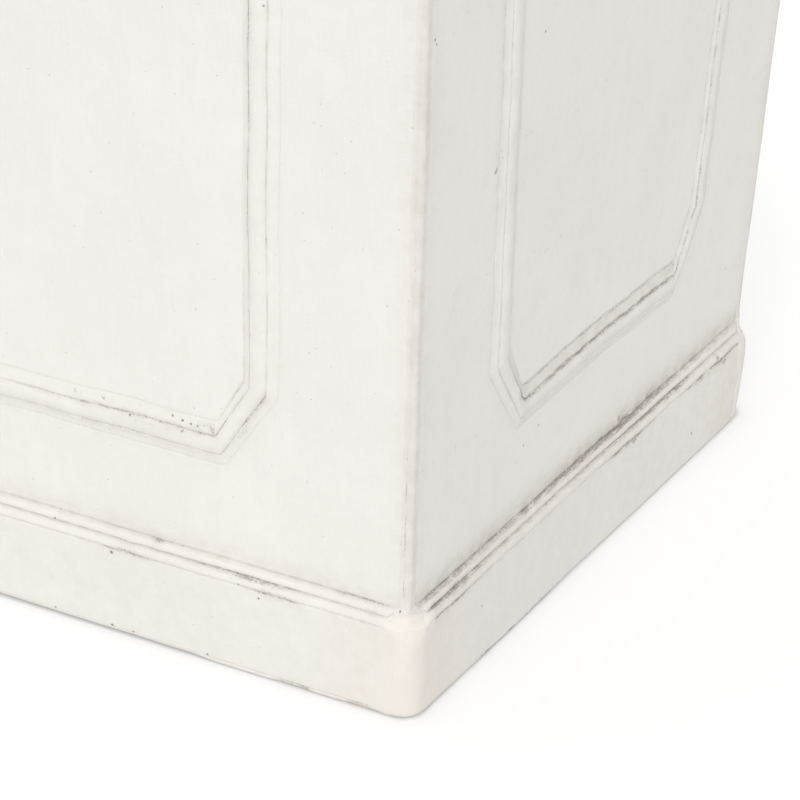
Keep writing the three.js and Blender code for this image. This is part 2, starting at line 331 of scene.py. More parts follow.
def outside_high(bulge):
    """The section from the top of the rim's band down to the body."""
    band = (RIM_HALF, RIM_BOTTOM)
    body = (body_half(BODY_TOP), BODY_TOP)
    above = [(RIM_HALF, RIM_BOTTOM + z) for z in (39, 33, 27, 21, 15, 10, 6, 3, 1.2, 0.5)]
    below = [(body_half(BODY_TOP - z), BODY_TOP - z) for z in (0.6, 1.4, 2.8, 4.4, 6.2)]
    return np.concatenate([rows(*above), two_beads(band, body, bulge), rows(*below)])


BAND_STOPS = (50.9, 50.3, 49.4, 47, 43, 38, 33, 28, 23, 18, 13, 9, 6, 4.4, 3.4)
PLINTH_GROOVES = (BODY_BOTTOM, BODY_BOTTOM - BEAD_HEIGHT, BAND_TOP)
RIM_GROOVES = (BODY_TOP, BODY_TOP + BEAD_HEIGHT, RIM_BOTTOM)
FACE_LOW = 67.0                # where a wall's face meets its section
FACE_HIGH = BODY_TOP - 6.2
EDGE_POINTS = 7                # of the plinth's bottom edge in a wall's section
RIM_EDGE_POINTS = 8            # and of the rim's outer edge


def wall_section(bulge):
    """The closed section of a wall from the foot of its face, down, in, up and out again."""
    low = outside_low(bulge)
    edge = rows(
        (plinth_half(3), 3.0),
        (plinth_half(2.6), 2.6),
        (plinth_half(2.2), 2.2),
        (plinth_half(1.5), 1.5),
        (plinth_half(0.8), 0.8),
        (plinth_half(0) - 0.4, 0.2),
        (plinth_half(0) - 1.2, 0.0),
    )
    foot = rows(
        *[(r, 0.0) for r in np.linspace(PLINTH_HALF - 8, FOOT_HALF + 2, 5)],
        (FOOT_HALF, 1.5),
        *[(FOOT_HALF, z) for z in (10, 20, LEDGE_HEIGHT - 1.5)],
        (FOOT_HALF + 1.5, LEDGE_HEIGHT),
        *[(r, LEDGE_HEIGHT) for r in (FOOT_HALF + 8, inner_half(LEDGE_HEIGHT))],
    )
    inside_heights = np.linspace(LEDGE_HEIGHT + 3, HEIGHT - LIP_EDGE, 44)
    inside = rows(*[(inner_half(z), z) for z in inside_heights])
    lip = arc(LIP_CENTRE, LIP_EDGE, 165, 90, 6)
    top = rows((LIP_CENTRE[0] + 3, HEIGHT), (LIP_CENTRE[0] + 6, HEIGHT))
    rim_edge = arc(RIM_CENTRE, RIM_EDGE, 90, 0, RIM_EDGE_POINTS)
    return np.concatenate([low, edge, foot, inside, lip, top, rim_edge, outside_high(bulge)])


# ---------------------------------------------------------------- the wear and painted shade of each side

# For each kind of side: which end of x is nearer the camera, and how the wash and painted shade lie
# along its lines. Keys are (m, amount) for the plinth's grooves and for the lip under the front's
# bottom
# edge, and (distance from the middle of the lower near clip, amount) for the frame's lines:
# positive along the bottom, negative up the near side. halo is a stain with painted occlusion
# shade beside the beads, band is painted shade over the plinth's band, and edge is a dark line
# along the foot, partly ragged voids and partly painted contact shade.
FRONT_SIDE = {
    "near": 1,
    "grooves": [
        [(0, 0), (13, 0.1), (18, 0.4), (42, 0.4), (50, 0.18), (75, 0.12), (110, 0.12),
         (145, 0.2), (151, 0.35), (156, 0.12), (200, 0.1), (260, 0.12), (390, 0.15)],
        [(0, 0), (18, 0.05), (60, 0.1), (72, 0.36), (100, 0.38), (126, 0.34), (140, 0.15),
         (200, 0.14), (240, 0.22), (260, 0.22), (390, 0.12)],
        [(0, 0), (25, 0.15), (40, 0.1), (60, 0.12), (69, 0.45), (87, 0.5), (95, 0.18),
         (150, 0.18), (157, 0.5), (170, 0.6), (182, 0.36), (200, 0.22), (240, 0.14),
         (390, 0.12)],
    ],
    "halo": 0.2,
    "frame": {
        "D": [(-240, 0.04), (-30, 0.05), (0, 0.16), (30, 0.14), (200, 0.1), (300, 0.06)],
        "C": [(-240, 0.3), (-110, 0.25), (-60, 0.15), (-28, 0.2), (-22, 0.55), (-4, 0.5),
              (6, 0.25), (60, 0.25), (80, 0.4), (110, 0.3), (220, 0.14), (300, 0.1)],
        "B": [(-240, 0.4), (-110, 0.35), (-60, 0.16), (-24, 0.12), (-10, 0.3), (10, 0.3),
              (28, 0.48), (100, 0.5), (130, 0.28), (220, 0.3), (300, 0.2)],
        "A": [(-240, 0.05), (-90, 0.06), (-60, 0.3), (-28, 0.3), (0, 0.35), (20, 0.1),
              (300, 0.05)],
    },
    "lip": [(0, 1), (17, 1), (20, 0), (38, 0), (42, 1), (57, 1), (61, 0), (78, 0), (82, 1),
            (390, 1)],
    "raised": [(0, 0), (116, 0), (132, 1), (390, 1)],
    "band": [(0, 0.03), (40, 0.07), (390, 0.07)],
    "edge": [(0, 0.1), (390, 0.15)],
    "hairline": 1.0,
}
RIGHT_SIDE = {
    "near": -1,
    "grooves": [
        [(0, 0), (9, 0.3), (20, 0.6), (50, 0.5), (90, 0.5), (150, 0.65), (230, 0.75),
         (280, 0.6), (310, 0.4), (345, 0.35), (390, 0.3)],
        [(0, 0), (13, 0.1), (19, 0.65), (50, 0.65), (75, 0.45), (150, 0.35), (230, 0.5),
         (300, 0.75), (330, 0.3), (390, 0.3)],
        [(0, 0), (16, 0.3), (22, 0.7), (50, 0.65), (62, 0.4), (120, 0.2), (200, 0.15),
         (226, 0.85), (260, 0.6), (280, 0.25), (300, 0.2), (328, 0.85), (335, 0.2),
         (350, 0.8), (380, 0.65), (390, 0.3)],
    ],
    "halo": 0.5,
    "frame": {
        "D": [(-240, 0.35), (-130, 0.2), (-30, 0.2), (0, 0.25), (30, 0.04), (200, 0.04),
              (232, 0.1), (420, 0.1)],
        "C": [(-240, 0.25), (-30, 0.3), (0, 0.45), (30, 0.12), (190, 0.12), (232, 0.3),
              (420, 0.35)],
        "B": [(-240, 0.15), (-30, 0.15), (0, 0.5), (22, 0.75), (150, 0.8), (190, 0.7),
              (232, 0.5), (420, 0.5)],
        "A": [(-240, 0.2), (-24, 0.2), (0, 0.4), (26, 0.5), (150, 0.5), (200, 0.4),
              (420, 0.3)],
    },
    "lip": [(0, 1), (390, 1)],
    "raised": [(0, 0), (390, 0)],
    "band": [(0, 0.02), (200, 0.04), (390, 0.12)],
    "edge": [(0, 0.2), (15, 0.5), (60, 0.3), (70, 0.7), (142, 0.7), (160, 0.3), (390, 0.35)],
    "hairline": 0.0,
}
SIDES = {
    "front": FRONT_SIDE,
    "right": RIGHT_SIDE,
    "back": FRONT_SIDE,
    "left": RIGHT_SIDE,
}
NEAR_END = {"front": 1, "right": -1}    # the end of x at the corner nearest the camera

# Smudges of wash off the lines: (m, z, half length, half width, degrees from level, amount)
SMUDGES = {
    "front": [
        (113, 138, 5, 3, -60, 0.3), (121, 136, 8, 2.5, 0, 0.35), (95, 140, 12, 3, -55, 0.35),
        (150, 62, 5, 2.5, 0, 0.25), (166, 54, 10, 3, 0, 0.25), (79, 52, 9, 3, 0, 0.3),
        (95, 56, 14, 3, 0, 0.25), (22, 57, 4, 3, 0, 0.25), (150, 129, 40, 2.5, 0, 0.25),
    ],
    "right": [
        (109, 135, 9, 3.5, -40, 0.5), (246, 48, 5, 3, 30, 0.3), (345, 50, 24, 3.5, 0, 0.3),
        (240, 64, 18, 4.5, 0, 0.35), (190, 64, 36, 4, 0, 0.2), (275, 64, 20, 4.5, 0, 0.25),
        (320, 64, 30, 4, 0, 0.12), (30, 47, 14, 3, 0, 0.25), (45, 58, 16, 3, 0, 0.3),
        (285, 137, 10, 3, 30, 0.4),
    ],
}
SMUDGES["back"] = SMUDGES["front"]
SMUDGES["left"] = SMUDGES["right"]

# Lumps (and, where the height is negative, chips): (m, z, radius along, radius up, height)
LUMPS = {
    "front": [
        (149, 65, 4.5, 3, 1.1), (149, 59, 4, 3, 0.8), (166, 56, 4, 2.2, 0.8),
        (64, 50, 5, 2.2, 0.7), (113, 137, 3, 2.5, 0.7), (107, 143, 3, 3, -0.5),
        (93, 150, 4, 5, -0.5), (205, 137, 6, 2, 0.4), (232, 134, 5, 2, -0.4),
    ],
    "right": [
        (257, 43, 3, 2.2, -1.2), (262, 47, 3, 2, 0.8), (364, 42, 3.5, 2.5, -1.3),
        (233, 63, 5, 4, 0.9), (243, 66, 4, 4, -0.8), (252, 62, 4, 3, 0.7),
        (270, 47, 4, 2, -0.8), (346, 47, 6, 2, -0.8), (376, 50, 5, 3, -0.8),
        (358, 52, 4, 2.5, 0.7), (109, 135, 4, 3, -0.7), (16, 56, 4, 4, 0.5),
        (285, 135, 5, 3, 0.6), (300, 160, 5, 6, -0.4),
    ],
}
LUMPS["back"] = LUMPS["front"]
LUMPS["left"] = LUMPS["right"]


# Pinholes and crusty chips that stand out on the two sides in view: (side, m, z, radius)
PINHOLES = [
    ("front", 212, 57, 0.6), ("front", 178.6, 48.5, 0.9), ("front", 89.6, 47.1, 0.6),
    ("front", 100.9, 52.1, 0.5), ("front", 179.4, 3.4, 0.8), ("front", 166.3, 3.2, 0.6),
    ("front", 120.5, 3.5, 0.6), ("front", 215.4, 3.7, 0.5), ("front", 83.8, 368, 0.7),
    ("front", 161.6, 131.5, 0.9), ("front", 5.5, 60, 0.5), ("right", 8, 364.2, 0.6),
    ("right", 9.5, 361.6, 0.5), ("right", 116.7, 332.7, 0.6), ("right", 322.9, 18.3, 0.8),
    ("right", 71, 32.5, 0.5), ("front", 137, 137, 0.6), ("front", 131, 136, 0.7),
    ("front", 126, 135.3, 0.6), ("front", 122, 135.2, 0.5),
]
CHIPS = [
    ("front", 113.5, 135.4, 1.5), ("front", 178, 136.4, 1.0), ("front", 196, 136.6, 0.9),
    ("front", 130, 130, 1.0), ("right", 231, 64.7, 1.8), ("right", 246, 50, 2.2),
    ("right", 238, 51, 1.6), ("right", 267, 63, 1.8), ("right", 333.4, 50, 1.8),
    ("right", 352, 54, 1.6), ("right", 364, 47.5, 1.8), ("right", 73, 275, 1.3),
]


def spot_place(side, m, z):
    """Where a spot lies, in the planter's coordinates."""
    heights = (0, BAND_TOP, BODY_BOTTOM, BODY_TOP)
    halves = (plinth_half(0), plinth_half(BAND_TOP), BODY_LOW_HALF, body_half(BODY_TOP))
    out = float(np.interp(z, heights, halves))
    x = SIDES[side]["near"] * (out - m)
    return turned(np.array([x, out, z]), list(SIDES).index(side))


def smudged(side, m, z):
    total = np.zeros(np.shape(m))
    for place_m, place_z, half_length, half_width, angle, amount in SMUDGES[side]:
        cosine = math.cos(math.radians(angle))
        sine = math.sin(math.radians(angle))
        along = (m - place_m) * cosine + (z - place_z) * sine
        across = (z - place_z) * cosine - (m - place_m) * sine
        total += amount * np.exp(-((along / half_length) ** 2) - (across / half_width) ** 2)
    return total


def lumped(side, m, z):
    total = np.zeros(np.shape(m))
    for place_m, place_z, radius_m, radius_z, rise in LUMPS[side]:
        total += rise * bump(m, place_m, radius_m) * bump(z, place_z, radius_z)
    return total


# ---------------------------------------------------------------- walls

CLIP_POINTS = 34               # points along half of a clipped corner
LEVEL_POINTS = 76              # along a level side of the frame, between its clips
UPRIGHT_POINTS = 112           # along an upright one

# The rings of a face: insets from the frame's outer line, first on the margin round it
MARGIN_INSETS = (-74, -71, -66, -60, -52, -43, -34, -26, -19, -13, -8.5, -5.5, -3.5, -2)
FRAME_LINES = {"D": 0.3, "C": 6.4, "B": 16.4, "A": 22.4}
LINE_STEPS = (-1.3, -0.8, -0.45, -0.2, 0, 0.2, 0.45, 0.8, 1.3)
BETWEEN_LINES = {2.6, 3.6, 4.4, 8.6, 9.8, 11.4, 13, 14.2, 18.4, 19.5, 20.5}
INSETS = sorted(BETWEEN_LINES | {
    round(place + step, 2) for place in FRAME_LINES.values() for step in LINE_STEPS})
LEVEL_COVE = 1.3               # the inner cove is wider along the level sides
UPRIGHT_COVE = 0.6             # and narrower along the upright ones


def frame_rise(inset):
    """The frame's profile: its height over the face."""
    inset = np.asarray(inset, float)
    edge = np.minimum(inset, FRAME_WIDTH - inset)
    slope = COVE_RISE * (1 - np.cos(np.clip(edge / COVE, 0, 1) * math.pi / 2))
    across = np.clip((inset - COVE) / RIDGE, 0, 1)
    ridge = GROOVE_RISE + (RIDGE_RISE - GROOVE_RISE) * np.sin(math.pi * across) ** 0.8
    rise = np.where(edge < COVE - 0.05, slope, ridge)
    return np.where(edge < 0, 0, rise)


def line_depth(inset):
    """The depth of the fine grooves along the frame's lines."""
    return sum(LINE_DEPTHS[name] * bump(inset, place, 0.4) for name, place in FRAME_LINES.items())


def corner_marks(inset):
    """The lower right quarter of a ring of the frame, as (x, z) of the end of its level side,
    the middle of its clip and the start of its upright side."""
    share = np.clip(inset / FRAME_WIDTH, 0, 1)
    across = lerp(OUTER_CLIP[0], INNER_CLIP[0], share)
    up = lerp(OUTER_CLIP[1], INNER_CLIP[1], share)
    beyond = max(inset - COVE - RIDGE, 0)
    level_inset = inset + (LEVEL_COVE - 1) * beyond
    upright_inset = inset + (UPRIGHT_COVE - 1) * beyond
    marks = []
    for level, way in ((FRAME_BOTTOM + level_inset, 1), (FRAME_TOP - level_inset, -1)):
        end = (body_half(level) - FRAME_SIDE - upright_inset - across, level)
        start_z = level + way * up
        start = (body_half(start_z) - FRAME_SIDE - upright_inset, start_z)
        middle = ((end[0] + start[0]) / 2, (end[1] + start[1]) / 2)
        marks.append((end, middle, start))
    return marks


def face_marks():
    """The same for the edge of the whole face, in line with the frame's corners."""
    marks = []
    for level, corner in zip((FACE_LOW, FACE_HIGH), corner_marks(0)):
        end = (corner[0][0], level)
        middle = (body_half(level) - MITRE_CUT, level)
        start = (body_half(corner[2][1]) - MITRE_CUT, corner[2][1])
        marks.append((end, middle, start))
    return marks


def ring(marks):
    """A ring's points from the middle of its lower left corner, counterclockwise, as four
    sides whose ends aren't repeated."""
    (low_end, low_mid, low_start), (high_end, high_mid, high_start) = np.array(marks)
    flip = np.array([-1, 1])
    sides = [
        (low_mid * flip, low_end * flip, low_end, low_mid, LEVEL_POINTS),
        (low_mid, low_start, high_start, high_mid, UPRIGHT_POINTS),
        (high_mid, high_end, high_end * flip, high_mid * flip, LEVEL_POINTS),
        (high_mid * flip, high_start * flip, low_start * flip, low_mid * flip, UPRIGHT_POINTS),
    ]
    points = []
    for first, second, third, fourth, count in sides:
        for start, end, steps in (
            (first, second, CLIP_POINTS), (second, third, count), (third, fourth, CLIP_POINTS)
        ):
            points.append(start + (end - start) * (np.arange(steps) / steps)[:, None])
    return np.concatenate(points)


def softened(points, times):
    """A ring with its corners eased."""
    for _ in range(times):
        points = (np.roll(points, 1, axis=0) + 2 * points + np.roll(points, -1, axis=0)) / 4
    return points


SIDE_LEVEL = LEVEL_POINTS + 2 * CLIP_POINTS
SIDE_UPRIGHT = UPRIGHT_POINTS + 2 * CLIP_POINTS
WOBBLE = [Waves(21, 45, 150), Waves(22, 45, 150)]
ALONG = Waves(23, 12, 40)


def warped(points, near):
    """A ring of the frame as it was modelled by hand, not quite straight."""
    x, z = points[:, 0], points[:, 1]
    spots = np.stack([x, np.full_like(x, 40.0 * near), z], axis=-1)
    shift = np.stack([0.45 * WOBBLE[0](spots), 0.45 * WOBBLE[1](spots)], axis=-1)
    return points + shift


def line_position(points, near):
    """The distance along a ring from the middle of its lower clip on the near side: growing
    along the bottom, and negative up the near side."""
    steps = np.linalg.norm(np.roll(points, -1, axis=0) - points, axis=1)
    distance = np.concatenate([[0], np.cumsum(steps)[:-1]])
    total = steps.sum()
    if near > 0:
        position = distance[SIDE_LEVEL] - distance
    else:
        position = distance
    position = np.mod(position, total)
    near_side = distance[SIDE_LEVEL + SIDE_UPRIGHT] - distance[SIDE_LEVEL]
    return np.where(position > total - near_side, position - total, position)


def coons(boundary):
    """A grid of points inside a ring of four sides."""
    low = boundary[:SIDE_LEVEL + 1]
    right = boundary[SIDE_LEVEL:SIDE_LEVEL + SIDE_UPRIGHT + 1]
    high = boundary[SIDE_LEVEL + SIDE_UPRIGHT:2 * SIDE_LEVEL + SIDE_UPRIGHT + 1][::-1]
    left = np.concatenate([boundary[2 * SIDE_LEVEL + SIDE_UPRIGHT:], boundary[:1]])[::-1]
    s = np.linspace(0, 1, SIDE_LEVEL + 1)[:, None, None]
    t = np.linspace(0, 1, SIDE_UPRIGHT + 1)[None, :, None]
    ruled_up = lerp(low[:, None], high[:, None], t)
    ruled_across = lerp(left[None], right[None], s)
    corners = lerp(lerp(low[0], low[-1], s), lerp(high[0], high[-1], s), t)
    return ruled_up + ruled_across - corners


def on_face(points, rise):
    """(x, z) points on the leaning face, as (x, out, z)."""
    x, z = points[..., 0], points[..., 1]
    return np.stack([x, body_half(z) + rise, z], axis=-1)


def wall(side, quarter):
    wear_and_shade = SIDES[side]
    near = wear_and_shade["near"]
    shell = Shell("patina", "haze", "coat", "warm", "along", "across")

    # The section, swept between the mitres
    section = wall_section(BEAD_BULGE)
    plain = wall_section(0.0)
    radius, level = section[:, 0], section[:, 1]
    face = ring(face_marks())
    stations = face[:SIDE_LEVEL + 1, 0] / (body_half(FACE_LOW) - MITRE_CUT)
    columns = np.arange(len(section))
    is_low = columns < len(outside_low(0)) + EDGE_POINTS
    is_high = columns >= len(section) - len(outside_high(0)) - RIM_EDGE_POINTS
    outside = is_low | is_high
    band = outside * at_caps(level, 1.9, 6.7)
    x = stations[:, None] * (plain[:, 0] - MITRE_CUT)
    m = np.abs(plinth_half(0) - near * x)
    from_end = plain[:, 0] - np.abs(x)
    away = x * NEAR_END.get(side, 0) <= 0
    rounding = corner_radius(level, away)
    under_cap = ramp(from_end, rounding + 1.5, rounding - 3)
    worn = away * is_low * ramp(level, WORN_HEIGHT, WORN_WHOLE)
    beaded = ramp(from_end, *BEAD_END)
    out = lerp(plain[:, 0], radius, beaded)
    out = out - (CAP_RECESS + WORN_RECESS * worn) * under_cap * band
    out = out - ARRIS_RECESS * ramp(from_end, 6, 4.4) * outside
    z = lerp(plain[:, 1], level, beaded)
    underside = (level < 0.5) & (radius < PLINTH_HALF)
    z = z + 1.0 * under_cap * underside

    # The bottom edge: a thin lip under a hairline, broken away in places
    lip = keyed(m, wear_and_shade["lip"])
    raised = keyed(m, wear_and_shade["raised"]) * ramp(from_end, 20, 24)
    edge = is_low & (level < 2.7)
    hairline = is_low & (np.abs(level - 2.6) < 0.1)
    under = (edge & ~hairline) * ramp(from_end, 17, 20)
    out = out - 0.5 * hairline * wear_and_shade["hairline"] * ramp(from_end, 20, 26)
    out = out - under * np.maximum(0.8 * (1 - lip), 0.7 * raised)
    z = z + under * raised * 0.6 * ramp(level, 2.2, 0.2)

    # The grooves beside the beads
    patina = np.zeros_like(x)
    haze = np.zeros_like(x)
    groove = np.zeros_like(x)
    for heights, rows_of in ((PLINTH_GROOVES, is_low), (RIM_GROOVES, is_high)):
        for height, keys in zip(heights, wear_and_shade["grooves"]):
            amount = keyed(m, keys)
            patina = np.maximum(patina, amount * rows_of * bump(level, height, 0.5 + 1.1 * amount))
            haze = np.maximum(haze, (0.25 + 0.5 * amount) * rows_of * bump(level, height, 0.6))
            haze = np.maximum(haze, 0.5 * amount * rows_of * bump(level, height, 2.4))
            groove = np.maximum(groove, rows_of * bump(level, height, 0.45))
        way = 1 if heights is PLINTH_GROOVES else -1
        # A stain with painted occlusion shade on the body beside the beads, and over the beads between
        # their grooves
        reach = way * (level - heights[0])
        near_body = rows_of * np.where(reach > -1, bump(reach, 0, 9), 0)
        haze = np.maximum(haze, wear_and_shade["halo"] * near_body)
        between = rows_of * bump(level, (heights[0] + heights[2]) / 2, 7)
        haze = np.maximum(haze, 0.5 * wear_and_shade["halo"] * between)
    patina = patina + smudged(side, m, level) * is_low
    # Painted shade over the plinth's band, growing away from the near corner
    haze = np.maximum(haze, is_low * (level < BAND_TOP) * keyed(m, wear_and_shade["band"]))
    haze = np.maximum(haze, 0.5 * hairline * wear_and_shade["hairline"] * (1 - raised))
    # Painted shadow in the gaps under the wall where the lip is broken away
    patina = np.maximum(patina, 0.45 * under * (1 - lip) * (1 - raised))
    # A dark line along the foot: partly ragged voids, partly painted contact shade
    patina = np.maximum(patina, keyed(m, wear_and_shade["edge"]) * is_low * ramp(level, 2.4, 1.2))
    out = out - GROOVE_DEPTH * groove * ramp(from_end, 12, 20)
    out = out + lumped(side, m, level) * is_low
    coat = np.where(outside, 1, ramp(level, *COAT_END)) + 0 * x
    steps = np.linalg.norm(np.diff(section, axis=0), axis=1)
    down = np.concatenate([[0], np.cumsum(steps)])
    warm = 0.6 * ramp(from_end, 62, 24) * (is_low * ramp(level, 60, 46) + is_high * 0.5)
    sweep = shell.add(np.stack([x, out, z], -1), patina=patina, haze=haze, coat=coat, warm=warm,
                      along=x, across=down)
    shell.quads(sweep)

    # The face round the frame, as rings from the edge of the face inward
    upright = face[SIDE_LEVEL + 1:SIDE_LEVEL + SIDE_UPRIGHT]
    other = face[2 * SIDE_LEVEL + SIDE_UPRIGHT + 1:]
    edges = []
    for points in (upright, other):
        edges.append(shell.add(on_face(points, -ARRIS_RECESS), coat=1.0))
    outer = np.concatenate([sweep[:, 0], edges[0], sweep[::-1, -1], edges[1]])
    rings = [outer]
    profile = [warped(softened(ring(corner_marks(i)), 3), near) for i in INSETS]
    for inset in MARGIN_INSETS:
        points = lerp(profile[0], face, -inset / FRAME_SIDE)
        rings.append(frame_ring(shell, wear_and_shade, side, points, inset, near))
    for inset, points in zip(INSETS, profile):
        rings.append(frame_ring(shell, wear_and_shade, side, points, inset, near))
    for one, two in zip(rings, rings[1:]):
        pair = np.stack([one, two], axis=0)
        shell.quads(np.concatenate([pair, pair[:, :1]], axis=1))

    # The field
    inner = profile[-1]
    field = coons(inner)
    marks = face_wear_and_shade(side, field, near)
    numbers = np.empty(field.shape[:2], int)
    inside = shell.add(
        on_face(field[1:-1, 1:-1], 0.0), coat=1.0,
        **{key: values[1:-1, 1:-1] for key, values in marks.items()},
    )
    numbers[1:-1, 1:-1] = inside
    last = rings[-1]
    numbers[:, 0] = last[:SIDE_LEVEL + 1]
    numbers[-1, :] = last[SIDE_LEVEL:SIDE_LEVEL + SIDE_UPRIGHT + 1]
    numbers[:, -1] = last[SIDE_LEVEL + SIDE_UPRIGHT:2 * SIDE_LEVEL + SIDE_UPRIGHT + 1][::-1]
    numbers[0, :] = np.concatenate([last[2 * SIDE_LEVEL + SIDE_UPRIGHT:], last[:1]])[::-1]
    shell.quads(numbers)

    # The mitred ends
    shell.polygon(np.concatenate([sweep[-1], edges[0][::-1]]))
    shell.polygon(np.concatenate([sweep[0][::-1], edges[1][::-1]]))

    # The whole panel is a little uneven, and rougher where the wash and the painted shade at the foot
    # lie
    for number, points in enumerate(shell.points):
        spots = turned(points, quarter)
        rough = 0.14 * GRITTY(spots) * shell.marks["patina"][number]
        points = points + np.array([0, 1, 0]) * (unevenness(spots) + rough)[:, None]
        shell.points[number] = turned(points, quarter)
    return shell.piece(f"{side}_wall_panel", floor=0.0)


def face_wear_and_shade(side, points, near):
    """Wash, stain and painted shade on the face away from its lines: smudges of wash, a stain with
    painted occlusion shade above the plinth, and darker beside the arrises.
    """
    x, z = points[..., 0], points[..., 1]
    m = body_half(z) - near * x
    low = bump(z, BODY_BOTTOM, 9) * SIDES[side]["halo"]
    beside_arris = 0.14 * bump(body_half(z) - np.abs(x), 2, 9)
    haze = np.maximum(low, beside_arris)
    return {"patina": smudged(side, m, z), "haze": haze, "along": x, "across": z}


def frame_ring(shell, wear_and_shade, side, points, inset, near):
    """One ring of the frame, with its wash, stain and painted shade, and its unevenness along the way.
    """
    marks = face_wear_and_shade(side, points, near)
    x, z = points[:, 0], points[:, 1]
    position = line_position(points, near)
    patina = marks["patina"]
    haze = marks["haze"]
    for name, place in FRAME_LINES.items():
        amount = keyed(position, wear_and_shade["frame"][name])
        patina = np.maximum(patina, amount * bump(inset, place, 0.5 + 1.1 * amount))
        haze = np.maximum(haze, (0.1 + 0.5 * amount) * bump(inset, place, 0.6))
        haze = np.maximum(haze, 0.5 * amount * bump(inset, place, 2.6))
    inner_stain = 0.8 * wear_and_shade["halo"] * keyed(position, wear_and_shade["frame"]["B"])
    haze = np.maximum(haze, inner_stain * bump(inset, COVE + RIDGE + COVE / 2, COVE / 2))
    m = body_half(z) - near * x
    spots = np.stack([x, np.full_like(x, 300.0 * near), z], axis=-1)
    share = frame_rise(inset) / RIDGE_RISE
    rise = frame_rise(inset) * (1 + 0.05 * ALONG(spots))
    rise = rise - line_depth(inset) * np.clip(0.9 + 0.5 * ALONG(spots), 0.2, 1.8)
    rise = rise + lumped(side, m, z) * np.clip(share + 0.3, 0, 1)
    marks["patina"] = patina
    # The frame a little darker across its width, with the halo's stain and painted shade
    marks["haze"] = np.maximum(haze, 0.2 * wear_and_shade["halo"] * (0 < inset < FRAME_WIDTH))
    if inset > min(INSETS):
        marks["along"] = position
        marks["across"] = inset
    return shell.add(on_face(points, rise), coat=1.0, **marks)


# ---------------------------------------------------------------- corners

CORNERS = ("front_right", "back_right", "back_left", "front_left")
NEAR_CORNER = "front_right"
ARRIS_STAIN = 0.3
CAP_EASE = 1.0                 # how far the top edge of a cap is rubbed back
WORN_CAP_EASE = 2.2            # and at the corners away from the camera
JOINT_STEP = 0.7               # the column of the skin, on one side, that holds the joint line
SKIN_NOISE = Waves(31, 9, 26)
SKIN_EDGE = [Waves(32, 10, 34), Waves(33, 10, 34)]


def skin_path():
    """The way up the outside of a corner and over the rim: the section with the beads, and
    the one without them."""
    under = rows((188, 2.4), (190, 1.2), (192, 0.3), (194, 0), (197, 0), (198.6, 0.25),
                 (199.6, 0.9), (plinth_half(2), 2.0))
    over = np.concatenate([
        rows((RIM_HALF, HEIGHT - RIM_EDGE)),
        arc(RIM_CENTRE, RIM_EDGE, 14.324, 90, 6),
        rows((219, HEIGHT), (215.5, HEIGHT)),
        arc(LIP_CENTRE, LIP_EDGE, 90, 162, 6),
    ])
    body_levels = np.linspace(FACE_LOW + 3, FACE_HIGH - 3, 120)
    body = rows(*[(body_half(z), z) for z in body_levels])
    paths = []
    for bulge in (BEAD_BULGE, 0.0):
        low = outside_low(bulge)[::-1]
        high = outside_high(bulge)[::-1]
        paths.append(np.concatenate([under, low, body, high, over]))
    return paths


